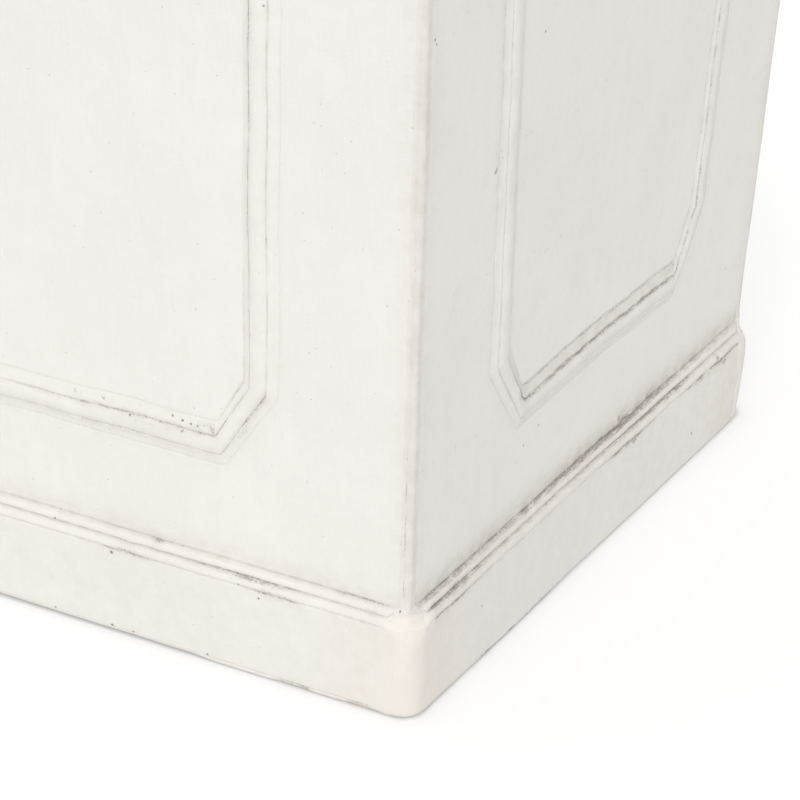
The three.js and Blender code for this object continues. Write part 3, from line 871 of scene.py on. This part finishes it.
def corner_fill(name, quarter):
    beaded, plain = skin_path()
    level = plain[:, 1]
    count = len(level)
    spread = cap_share(level)
    radius = corner_radius(level, name != NEAR_CORNER)
    cap_ease = CAP_EASE if name == NEAR_CORNER else WORN_CAP_EASE
    tuck = np.clip((plinth_half(0) - plain[:, 0]) / 12, 0, 1) * (level < 5)
    tuck = tuck + np.clip((RIM_HALF - plain[:, 0]) / 14, 0, 1) * (level > HEIGHT - 5)
    radius = radius * (1 - 0.75 * np.clip(tuck, 0, 1))
    along = np.stack([np.zeros(count), np.zeros(count), level], axis=-1)
    reaches = []
    for end in range(2):
        seed = along + np.array([60.0 * quarter, 25.0 * end, 0])
        rough = SKIN_EDGE[end](seed)
        reach = lerp(SKIN_REACH + 0.2 * rough, CAP_REACH + 1.4 * rough, spread)
        reaches.append(reach)

    # The joint shows as a broken hairline beside the lower part of the arris
    broken = SKIN_NOISE(along + np.array([0, 70.0 * quarter, 0])) > -0.3
    joint = 0.7 * broken * ramp(level, 66, 72) * ramp(level, 160, 145)

    shell = Shell("patina", "haze", "coat", "warm", "along", "across")
    flat_steps = np.array([0, 0.1, 0.2, 0.3, 0.42, 0.55, JOINT_STEP, 0.85])
    arc_steps = np.linspace(0, 1, 15)
    sheets = {}
    steps = [(0, s) for s in flat_steps] + [(None, s) for s in arc_steps]
    steps += [(1, s) for s in flat_steps[::-1]]
    for sheet in ("outer", "inner"):
        columns, tints, stains, washes, ways = [], [], [], [], []
        for end, s in steps:
            if end is None:
                m = radius * (1 - s if s < 0.5 else s)
                angle = s * math.pi / 2
            else:
                m = lerp(reaches[end], radius, s)
                angle = end * math.pi / 2
            edge = reaches[0] if (end == 0 or (end is None and s < 0.5)) else reaches[1]
            fade = ramp(m, *BEAD_END) if end is not None else 0.0
            stains.append(ARRIS_STAIN * (1 - spread) * (1 if end is None else lerp(0.4, 1, s)))
            washes.append(joint * (end == 0 and s == JOINT_STEP))
            path = lerp(plain, beaded, np.asarray(fade)[..., None] * np.ones((count, 1)))
            half, z = path[:, 0], path[:, 1]
            sunk = ramp(m, edge - 4.0, edge) * spread
            lift = lerp(SKIN_LIFT * spread, -SKIN_SINK, sunk)
            tints.append(spread * ramp(m, edge - 1, edge - 10))
            ways.append((math.sin(angle), math.cos(angle), 0))
            thickness = SKIN if sheet == "inner" else 0.0
            slope = section_normals(path)
            eased = math.sin(2 * angle)
            half = half + eased * (
                0.6 * bump(level, BODY_BOTTOM, 2.5) - cap_ease * bump(level, BAND_TOP, 3.5))
            half = half + slope[:, 0] * (lift - thickness)
            z = z + slope[:, 1] * (lift - thickness)
            if end is None:
                x = half - radius + radius * math.sin(angle)
                out = half - radius + radius * math.cos(angle)
            elif end == 0:
                x, out = half - m, half
            else:
                x, out = half, half - m
            columns.append(np.stack([x, out, z], axis=-1))
        sheets[sheet] = np.stack(columns, axis=0)
    outer, inner = sheets["outer"], sheets["inner"]
    shift = unevenness(turned(outer, quarter))[..., None] * np.array(ways)[:, None, :]
    marks = {
        "coat": 1.0,
        "patina": np.array(washes),
        "haze": np.array(stains),
        "warm": np.array(tints),
        "along": level[None, :] + 0 * outer[..., 0],
        "across": 3.0 * np.arange(len(steps))[:, None] + 0 * outer[..., 0],
    }
    front = shell.add(outer + shift, **marks)
    back = shell.add(inner + shift, **marks)
    shell.quads(front)
    shell.quads(back[::-1])
    shell.quads(np.stack([back[0], front[0]]))
    shell.quads(np.stack([front[-1], back[-1]]))
    shell.quads(np.stack([front[:, 0], back[:, 0]]))
    shell.quads(np.stack([back[:, -1], front[:, -1]]))
    tongue(shell)
    shell.points = [turned(points, quarter) for points in shell.points]

    def heights(points, marks):
        return SKIN_ROUGHNESS * SKIN_NOISE(points) * marks["warm"]

    return shell.piece(f"{name}_corner_mortar", heights, floor=0.0)


def section_normals(path):
    """Outward normals of a section that runs upward."""
    way = np.gradient(path, axis=0)
    way /= np.linalg.norm(way, axis=1)[:, None] + 1e-9
    return np.stack([way[:, 1], -way[:, 0]], axis=-1)


def tongue(shell):
    """The mortar between the mitred ends and its fillet inside, as level rings."""
    half_width = MITRE_CUT / math.sqrt(2) - GAP
    levels = np.concatenate([
        [0.6, LEDGE_HEIGHT - 0.2, LEDGE_HEIGHT + 0.2],
        np.linspace(LEDGE_HEIGHT + 6, FILLET_TOP, 60),
        [FILLET_TOP + 3, FILLET_TOP + 6, HEIGHT - 6, HEIGHT - 0.4],
    ])
    steps = np.linspace(-1, 1, 9)
    loops = []
    for z in levels:
        width = half_width + SEAM_COVER * ramp(z, FILLET_TOP, FILLET_TOP + 6)
        leg = FILLET * (1 - ramp(z, FILLET_TOP - 1, FILLET_TOP + 6)) if z > LEDGE_HEIGHT else 0
        leg = max(leg, width * math.sqrt(2))
        inner = inner_half(z) if z > LEDGE_HEIGHT else FOOT_HALF
        inner = inner + LIP_EDGE * ramp(z, HEIGHT - LIP_EDGE, HEIGHT + 1)
        outer = body_half(z) - TONGUE_DEPTH
        is_fillet = leg > 6
        hollow = FILLET_HOLLOW * (1 - steps ** 2) * is_fillet
        reach = (inner - leg / 2) * math.sqrt(2) + hollow
        across = steps * leg / math.sqrt(2)
        back = inner * math.sqrt(2) + (-width if is_fillet else 2)
        sides = [(back, width), (outer * math.sqrt(2), width)]
        loop = list(zip(reach, across)) + sides
        loop += [(d, -a) for d, a in reversed(sides)]
        loops.append([((d + a) / math.sqrt(2), (d - a) / math.sqrt(2), z) for d, a in loop])
    loops = np.array(loops)
    numbers = shell.add(loops, coat=ramp(loops[..., 2], *COAT_END))
    shell.quads(np.concatenate([numbers, numbers[:, :1]], axis=1)[:, ::-1])
    shell.polygon(numbers[0])
    shell.polygon(numbers[-1][::-1])


# ---------------------------------------------------------------- floor slab and drain plug

def slab():
    """The floor plate, as rings round its drain hole that close on themselves."""
    bottom = LEDGE_HEIGHT + GAP
    top = bottom + SLAB
    count = 160
    turn = np.arange(count) * (2 * math.pi / count)
    circle = np.stack([np.cos(turn), np.sin(turn)], axis=-1)

    def outline(half, clip):
        """The clipped square at the same angles."""
        flat = half / np.maximum(np.abs(circle[:, 0]), np.abs(circle[:, 1]))
        slanted = (2 * half - clip) / (np.abs(circle[:, 0]) + np.abs(circle[:, 1]))
        return np.minimum(flat, slanted)[:, None] * circle

    clip = FILLET + 0.9
    shell = Shell("coat")
    rings = []

    def level(share, inset, z):
        half = inner_half(z) - 0.6 - inset
        flat = lerp(HOLE_RADIUS * circle, outline(half, clip), share)
        rings.append(np.column_stack([flat, np.full(count, z)]))

    def hole(radius, z):
        rings.append(np.column_stack([radius * circle, np.full(count, z)]))

    for z in (bottom + 1, bottom + 8, bottom + 16, top - 3):
        hole(HOLE_RADIUS, z)
    hole(HOLE_RADIUS + 0.3, top - 1.2)
    hole(HOLE_RADIUS + 1.3, top - 0.2)
    for share in np.linspace(0.02, 0.98, 22):
        level(share, 0, top)
    level(1, 0.6, top)
    level(1, 0, top - 0.8)
    level(1, 0, bottom + 0.8)
    level(1, 0.6, bottom)
    for share in np.linspace(0.95, 0.05, 10):
        level(share, 0, bottom)
    hole(HOLE_RADIUS + 0.8, bottom)
    numbers = shell.add(np.array(rings))
    looped = np.concatenate([numbers, numbers[:1]], axis=0)
    shell.quads(np.concatenate([looped, looped[:, :1]], axis=1))

    def heights(points, marks):
        up = np.clip((points[:, 2] - bottom - 5) / SLAB, 0, 1)
        return (0.25 * MIDDLE(points) + 0.12 * FINE(points)) * ramp(up, 0.6, 0.8) * ramp(
            np.hypot(points[:, 0], points[:, 1]), 19, 30)

    return shell.piece("floor_slab", heights, sharp=40)


def plug():
    """The bung: a domed flange with a shallow ring in it, over a tapered plug."""
    seat = LEDGE_HEIGHT + GAP + SLAB + GAP
    neck = HOLE_RADIUS - GAP
    top = seat + PLUG_FLANGE_THICKNESS
    profile = rows(
        (0.01, seat - PLUG_LENGTH + 0.4), (6, seat - PLUG_LENGTH), (neck - 2.4, seat - PLUG_LENGTH),
        (neck - 1.7, seat - PLUG_LENGTH + 0.3), (neck - 1.3, seat - PLUG_LENGTH + 1),
        (neck - 0.9, seat - 12), (neck - 0.5, seat - 5), (neck - 0.1, seat - 1), (neck + 0.4, seat),
        (PLUG_FLANGE - 1.4, seat), (PLUG_FLANGE - 0.5, seat + 0.3), (PLUG_FLANGE, seat + 1.2),
        (PLUG_FLANGE - 0.2, seat + 2.2), (PLUG_FLANGE - 1, seat + 3.2), (PLUG_FLANGE - 2.4, top - 0.1),
        (13.4, top + 0.2), (12.9, top - 0.3), (12.3, top - 0.3), (11.8, top + 0.35),
        (8, top + 0.75), (3.4, top + 0.95), (2.6, top + 0.6), (1.2, top + 0.45), (0.01, top + 0.42),
    )
    count = 96
    turn = np.arange(count) * (2 * math.pi / count)
    points = np.stack([
        profile[:, :1] * np.cos(turn), profile[:, :1] * np.sin(turn),
        np.repeat(profile[:, 1:], count, axis=1),
    ], axis=-1)
    shell = Shell("coat")
    numbers = shell.add(points)
    shell.quads(np.concatenate([numbers, numbers[:, :1]], axis=1)[:, ::-1])
    shell.polygon(numbers[0][::-1])
    shell.polygon(numbers[-1])
    return shell.piece("rubber_drain_bung", sharp=40)


# ---------------------------------------------------------------- materials

class Tree:
    """The nodes of a material or world, made one call at a time."""

    def __init__(self, owner):
        self.owner = owner
        owner.use_nodes = True
        self.nodes = owner.node_tree.nodes
        self.links = owner.node_tree.links
        self.nodes.clear()

    def add(self, kind, inputs=None, output=0, **settings):
        node = self.nodes.new("ShaderNode" + kind)
        for name, value in settings.items():
            setattr(node, name, value)
        for name, value in (inputs or {}).items():
            if isinstance(value, bpy.types.NodeSocket):
                self.links.new(value, node.inputs[name])
            else:
                node.inputs[name].default_value = value
        return node.outputs[output] if node.outputs else None

    def math(self, operation, a, b=0.0, clamp=False):
        return self.add("Math", {0: a, 1: b}, operation=operation, use_clamp=clamp)

    def times(self, a, b, clamp=False):
        return self.math("MULTIPLY", a, b, clamp)

    def plus(self, a, b, clamp=False):
        return self.math("ADD", a, b, clamp)

    def minus(self, a, b):
        return self.math("SUBTRACT", a, b)

    def larger(self, a, b):
        return self.math("MAXIMUM", a, b)

    def attribute(self, name):
        return self.add("Attribute", attribute_name=name, attribute_type="GEOMETRY", output=2)

    def noise(self, place, size, detail=2.0, stretch=(1, 1, 1), offset=(0, 0, 0), rough=0.5):
        """Noise between about 0 and 1, with features of that size in millimetres."""
        scale = [1 / (size * MM * s) for s in stretch]
        spot = self.add("Mapping", {"Vector": place, "Scale": scale, "Location": offset})
        return self.add("TexNoise", {
            "Vector": spot, "Scale": 1.0, "Detail": detail, "Roughness": rough})

    def range(self, value, low, high, to_low=0.0, to_high=1.0, kind="SMOOTHSTEP"):
        return self.add("MapRange", {
            "Value": value, "From Min": low, "From Max": high,
            "To Min": to_low, "To Max": to_high}, interpolation_type=kind)

    def mix(self, amount, first, second):
        return self.add("Mix", {0: amount, 6: first, 7: second}, output=2, data_type="RGBA")


def linear(red, green, blue):
    """A colour given as 0 to 255 display values."""
    channels = []
    for value in (red, green, blue):
        c = value / 255
        channels.append(c / 12.92 if c <= 0.04045 else ((c + 0.055) / 1.055) ** 2.4)
    return (*channels, 1.0)


WARM_COAT = linear(237.5, 231, 221)
STAIN_AND_SHADE_COLOUR = linear(178, 170, 160)
WASH_AND_SHADE_COLOUR = linear(120, 110, 97)
DARK_PIT = linear(112, 104, 92)
FAINT_PIT = linear(132, 124, 112)
RAW_CASTING = (linear(205, 200, 190), linear(188, 183, 173))
SLAB_CASTING = (linear(212, 207, 197), linear(186, 180, 170))
SLAB_SAND = linear(150, 144, 134)
BLACK_RUBBER = linear(40, 40, 40)
DUST = linear(92, 89, 84)
STREAK = (9.0, 1.4)            # millimetres along a line and across it


def spots(tree, place, chosen, soft):
    """A mask of chosen spots, each blurred by that share of its radius."""
    total = 0.0
    for side, m, z, radius in chosen:
        centre = spot_place(side, m, z) * MM
        flat = (1, 0.3, 1) if side == "front" else (0.3, 1, 1)
        away = tree.add("VectorMath", {0: place, 1: tuple(centre)}, operation="SUBTRACT")
        away = tree.add("VectorMath", {0: away, 1: flat}, operation="MULTIPLY")
        away = tree.add("VectorMath", {0: away}, output=1, operation="LENGTH")
        near, far = radius * (1 - soft) * MM, radius * (1 + soft) * MM
        total = tree.larger(tree.range(away, near, far, 1.0, 0.0), total)
    return total


def pits(tree, place, cell, share, radius):
    """A mask of round pits: about one in every cell, of which that share shows."""
    scale = [1 / (cell * MM)] * 3
    spot = tree.add("Mapping", {"Vector": place, "Scale": scale})
    distance = tree.add("TexVoronoi", {"Vector": spot, "Scale": 1.0})
    colour = tree.add("TexVoronoi", {"Vector": spot, "Scale": 1.0}, output=1)
    chance = tree.add("SeparateColor", {"Color": colour})
    size = tree.range(chance, 1 - share, 1.0, 0.0, radius / cell, "LINEAR")
    mask = tree.range(tree.minus(distance, size), -0.03, 0.02, 1.0, 0.0)
    return tree.times(mask, tree.math("GREATER_THAN", size, 0.01))


def coating(name, pale, deep, strokes=1.0):
    """A brushed coat over a cast body, with dark wash left in the hollows, stains, and painted shade
    and shadow where the marks put them. Where the mark coat is 0 the bare casting shows."""
    tree = Tree(bpy.data.materials.new(name))
    place = tree.add("TexCoord", output=3)
    patina = tree.attribute("patina")
    haze = tree.attribute("haze")
    coat = tree.attribute("coat")
    warm = tree.attribute("warm")

    cloudy = tree.noise(place, 70, detail=3)
    mottled = tree.noise(place, 9, detail=4, rough=0.6)
    grain = tree.noise(place, 1.3, detail=3, rough=0.65)
    brushed = tree.noise(place, 1.8, detail=3, stretch=(1, 1, 18))
    broad_brush = tree.noise(place, 9, detail=2, stretch=(1, 1, 6), offset=(3, 1, 2))

    # The coat's own colour
    tone = tree.times(cloudy, 0.55)
    tone = tree.plus(tone, tree.times(mottled, 0.3))
    tone = tree.plus(tone, tree.times(broad_brush, 0.15 * strokes))
    colour = tree.mix(tree.range(tone, 0.3, 0.72), pale, deep)
    warmth = tree.times(warm, tree.range(mottled, 0.25, 0.7, 0.35, 1.0))
    colour = tree.mix(warmth, colour, WARM_COAT)

    # A soft stain mixed with painted shade, and the wash itself, with painted shade along the foot,
    # crumbly where it's thin
    track = tree.add("CombineXYZ", {
        "X": tree.attribute("along"), "Y": tree.attribute("across")})
    track = tree.add("Mapping", {"Vector": track, "Scale": (1 / STREAK[0], 1 / STREAK[1], 1)})
    streak = tree.add("TexNoise", {"Vector": track, "Scale": 1.0, "Detail": 3.0})
    streaky = tree.range(streak, 0.3, 0.7, 0.4, 1.6, "LINEAR")
    stain_and_shade_amount = tree.times(haze, tree.range(mottled, 0.3, 0.7, 0.6, 1.2))
    stain_and_shade_amount = tree.times(stain_and_shade_amount, tree.range(streak, 0.3, 0.7, 0.7, 1.3, "LINEAR"))
    colour = tree.mix(tree.times(stain_and_shade_amount, 0.8, True), colour, STAIN_AND_SHADE_COLOUR)
    crumbs = tree.range(tree.noise(place, 1.3, detail=3, rough=0.75), 0.34, 0.66, kind="LINEAR")
    cover = tree.times(patina, streaky)
    crumbly = tree.minus(cover, crumbs)
    crumbly = tree.range(crumbly, -0.1, 0.35, 0.0, 0.42, "LINEAR")
    crumbly = tree.times(crumbly, tree.range(patina, 0.02, 0.5, 0.0, 1.0, "LINEAR"))
    wash_and_shade_mask = tree.plus(crumbly, tree.times(cover, 0.16), True)

    # Chips, crusty and with ragged outlines
    ragged = tree.add("Mapping", {"Vector": place, "Scale": [1 / (1.6 * MM)] * 3})
    ragged = tree.add("TexNoise", {"Vector": ragged, "Scale": 1.0, "Detail": 2.0}, output=1)
    ragged = tree.add("VectorMath", {0: ragged, 1: (0.5, 0.5, 0.5)}, operation="SUBTRACT")
    ragged = tree.add("VectorMath", {0: ragged, 1: [4 * MM] * 3}, operation="MULTIPLY")
    ragged = tree.add("VectorMath", {0: place, 1: ragged}, operation="ADD")
    chips = spots(tree, ragged, CHIPS, 0.5)
    chips = tree.times(chips, tree.range(crumbs, 0.2, 0.8, 1.0, 0.2, "LINEAR"))
    wash_and_shade_mask = tree.larger(wash_and_shade_mask, tree.times(chips, 0.75))
    # The wash, the chips and the painted shade and shadow at the foot all take this dark colour
    colour = tree.mix(wash_and_shade_mask, colour, WASH_AND_SHADE_COLOUR)

    # Pinholes, a few dark ones and many faint ones
    chosen_pits = spots(tree, place, PINHOLES, 0.3)
    dark_pits = tree.larger(pits(tree, place, 9, 0.04, 0.6), chosen_pits)
    faint_pits = pits(tree, place, 4.0, 0.25, 0.45)
    colour = tree.mix(tree.times(dark_pits, 0.7), colour, DARK_PIT)
    colour = tree.mix(tree.times(faint_pits, 0.25), colour, FAINT_PIT)
    soft_pit = tree.larger(dark_pits, tree.times(faint_pits, 0.6))

    # Bare casting where the coat stops
    raw_tone = tree.mix(tree.range(mottled, 0.3, 0.7), *RAW_CASTING)
    covered = tree.range(tree.plus(coat, tree.times(mottled, 0.5)), 0.6, 0.8)
    colour = tree.mix(tree.minus(1.0, covered), colour, raw_tone)

    # Relief, in millimetres
    height = tree.times(grain, 0.2)
    height = tree.plus(height, tree.times(brushed, 0.22 * strokes))
    height = tree.plus(height, tree.times(mottled, 0.12))
    height = tree.minus(height, tree.times(soft_pit, 0.5))
    height = tree.minus(height, tree.times(wash_and_shade_mask, 0.25))
    normal = tree.add("Bump", {"Height": height, "Distance": MM, "Strength": 0.8})
    rough = tree.range(mottled, 0.3, 0.7, 0.78, 0.9)
    shader = tree.add("BsdfPrincipled", {
        "Base Color": colour, "Roughness": rough, "Normal": normal, "IOR": 1.4})
    tree.add("OutputMaterial", {"Surface": shader})
    return tree.owner


def casting(name):
    """The slab's uncoated casting: trowelled, with sand grains and small voids."""
    tree = Tree(bpy.data.materials.new(name))
    place = tree.add("TexCoord", output=3)
    cloudy = tree.noise(place, 55, detail=4)
    sandy = tree.noise(place, 1.3, detail=3, rough=0.7)
    mottled = tree.noise(place, 11, detail=4)
    tone = tree.plus(tree.times(cloudy, 0.6), tree.times(mottled, 0.4))
    colour = tree.mix(tree.range(tone, 0.35, 0.65), *SLAB_CASTING)
    colour = tree.mix(tree.range(sandy, 0.55, 0.8, 0, 0.5), colour, SLAB_SAND)
    height = tree.times(sandy, 0.35)
    height = tree.plus(height, tree.times(mottled, 0.5))
    normal = tree.add("Bump", {"Height": height, "Distance": MM, "Strength": 0.9})
    shader = tree.add("BsdfPrincipled", {
        "Base Color": colour, "Roughness": 0.92, "Normal": normal, "IOR": 1.4})
    tree.add("OutputMaterial", {"Surface": shader})
    return tree.owner


def rubber(name):
    """Moulded black rubber with a little dust on it."""
    tree = Tree(bpy.data.materials.new(name))
    place = tree.add("TexCoord", output=3)
    fine = tree.noise(place, 0.5, detail=2)
    dusty = tree.noise(place, 6, detail=4)
    colour = tree.mix(tree.range(dusty, 0.45, 0.75, 0, 0.5), BLACK_RUBBER, DUST)
    normal = tree.add("Bump", {"Height": tree.times(fine, 0.08), "Distance": MM})
    rough = tree.range(dusty, 0.3, 0.7, 0.5, 0.75)
    shader = tree.add("BsdfPrincipled", {
        "Base Color": colour, "Roughness": rough, "Normal": normal})
    tree.add("OutputMaterial", {"Surface": shader})
    return tree.owner


# ---------------------------------------------------------------- camera, light and floor

IMAGE_SIZE = 800
FOCAL_PIXELS = 3225.7
SENSOR = 36.0
CAMERA_PLACE = (865.3, -1384.9, 867.6)
CAMERA_PITCH = 26.83           # degrees down
CAMERA_YAW = 29.59             # degrees to the left of +Y
CAMERA_ROLL = 0.25


def make_camera():
    pitch, yaw, roll = (math.radians(a) for a in (CAMERA_PITCH, CAMERA_YAW, CAMERA_ROLL))
    forward = Vector((
        -math.sin(yaw) * math.cos(pitch), math.cos(yaw) * math.cos(pitch), -math.sin(pitch)))
    right = Vector((math.cos(yaw), math.sin(yaw), 0))
    up = right.cross(forward)
    right, up = (
        math.cos(roll) * right + math.sin(roll) * up,
        math.cos(roll) * up - math.sin(roll) * right,
    )
    data = bpy.data.cameras.new("photo_camera")
    data.sensor_width = SENSOR
    data.lens = FOCAL_PIXELS / IMAGE_SIZE * SENSOR
    data.clip_start = 0.05
    data.clip_end = 50
    camera = bpy.data.objects.new("photo_camera", data)
    turn = Matrix((right, up, -forward)).transposed().to_4x4()
    camera.matrix_world = Matrix.Translation(Vector(CAMERA_PLACE) * MM) @ turn
    bpy.context.scene.collection.objects.link(camera)
    bpy.context.scene.camera = camera


SKY = 0.8
KEY_YAW = 23.0                 # degrees to the right of -Y
KEY_HEIGHT = 24.0              # degrees up
KEY_SPREAD = 25.0              # degrees across
KEY_STRENGTH = 1.08
FLOOR_SIZE = 12.0              # metres
FLOOR_TONE = 0.72
GLOW_NEAR = 0.35               # what the floor shows beyond its light, near the planter: less, a painted shadow round it
GLOW_FAR = 0.43                # and far from it
GLOW_RANGE = (0.15, 0.6)       # metres from the planter, from near to far
PAINTED_CONTACT_SHADOW = 0.25                   # the glow taken away where the planter stands: a painted contact shadow
PAINTED_SHADOW_REACH = 1.2              # millimetres within which half of the painted contact shadow is gone


def seen(tree):
    """1 for the rays that should find a white surrounding: the camera's, and reflections."""
    rays = [tree.add("LightPath", output=n) for n in ("Is Camera Ray", "Is Glossy Ray",
                                                      "Is Transmission Ray")]
    return tree.larger(tree.larger(rays[0], rays[1]), rays[2])


def make_light():
    world = bpy.data.worlds.new("studio")
    bpy.context.scene.world = world
    tree = Tree(world)
    soft = tree.add("Background", {"Color": (1, 1, 1, 1), "Strength": SKY})
    white = tree.add("Background", {"Color": (1, 1, 1, 1), "Strength": 1.0})
    both = tree.add("MixShader", {0: seen(tree), 1: soft, 2: white})
    tree.add("OutputWorld", {"Surface": both})
    data = bpy.data.lights.new("key", "SUN")
    data.energy = KEY_STRENGTH
    data.angle = math.radians(KEY_SPREAD)
    key = bpy.data.objects.new("key", data)
    yaw, height = math.radians(KEY_YAW), math.radians(KEY_HEIGHT)
    toward = Vector((
        math.cos(height) * math.sin(yaw), -math.cos(height) * math.cos(yaw), math.sin(height)))
    key.location = 3 * toward
    key.rotation_mode = "QUATERNION"
    key.rotation_quaternion = toward.to_track_quat("Z", "Y")
    bpy.context.scene.collection.objects.link(key)


def make_floor():
    half = FLOOR_SIZE / 2
    mesh = bpy.data.meshes.new("floor")
    mesh.from_pydata([(-half, -half, 0), (half, -half, 0), (half, half, 0), (-half, half, 0)], [],
                     [(0, 1, 2, 3)])
    floor = bpy.data.objects.new("floor", mesh)
    floor.location = (0, 0, -0.0001)
    bpy.context.scene.collection.objects.link(floor)
    tree = Tree(bpy.data.materials.new("floor_white_painted_shadow"))
    tone = (FLOOR_TONE, FLOOR_TONE, FLOOR_TONE, 1)
    matte = tree.add("BsdfDiffuse", {"Color": tone})
    place = tree.add("TexCoord", output=3)
    # The glow is lower near the planter and lowest where it stands: a painted shadow round its foot
    core = (PLINTH_HALF - CAP_RADIUS) * MM
    apart = tree.add("VectorMath", {0: place}, operation="ABSOLUTE")
    apart = tree.add("VectorMath", {0: apart, 1: (core, core, 0)}, operation="SUBTRACT")
    apart = tree.add("VectorMath", {0: apart, 1: (0, 0, 0)}, operation="MAXIMUM")
    apart = tree.add("VectorMath", {0: apart}, output=1, operation="LENGTH")
    apart = tree.larger(tree.minus(apart, CAP_RADIUS * MM), 0.0)
    fall = tree.plus(1.0, tree.math("DIVIDE", apart, PAINTED_SHADOW_REACH * MM))
    strength = tree.range(apart, *GLOW_RANGE, GLOW_NEAR, GLOW_FAR)
    strength = tree.minus(strength, tree.math("DIVIDE", PAINTED_CONTACT_SHADOW, fall))
    glow = tree.add("Emission", {"Color": (1, 1, 1, 1), "Strength": strength})
    lit = tree.add("AddShader", {0: matte, 1: glow})
    both = tree.add("MixShader", {0: seen(tree), 1: matte, 2: lit})
    tree.add("OutputMaterial", {"Surface": both})
    mesh.materials.append(tree.owner)


# ---------------------------------------------------------------- the scene

make_camera()
make_light()
make_floor()

panel_coat = coating("cast_panel_coat", linear(243, 240.2, 234.5), linear(238, 235.2, 229.5))
corner_coat = coating("corner_mortar_coat", linear(243, 239, 233), linear(237, 233, 226), 1.3)
slab_cast = casting("floor_slab_casting")
plug_rubber = rubber("plug_black_rubber")

for quarter, side in enumerate(SIDES):
    place(wall(side, quarter), "planter", "cast_panel", panel_coat, f"wall_{side}")
for quarter, corner in enumerate(CORNERS):
    fill = corner_fill(corner, quarter)
    place(fill, "planter", "corner_mortar", corner_coat, f"corner_fill_{corner}")
place(slab(), "planter", "floor_slab", slab_cast, "base_slab")
place(plug(), "plug", "plug_rubber", plug_rubber, "drain_plug")

bpy.context.scene.view_settings.view_transform = "Standard"
bpy.context.view_layer.update()
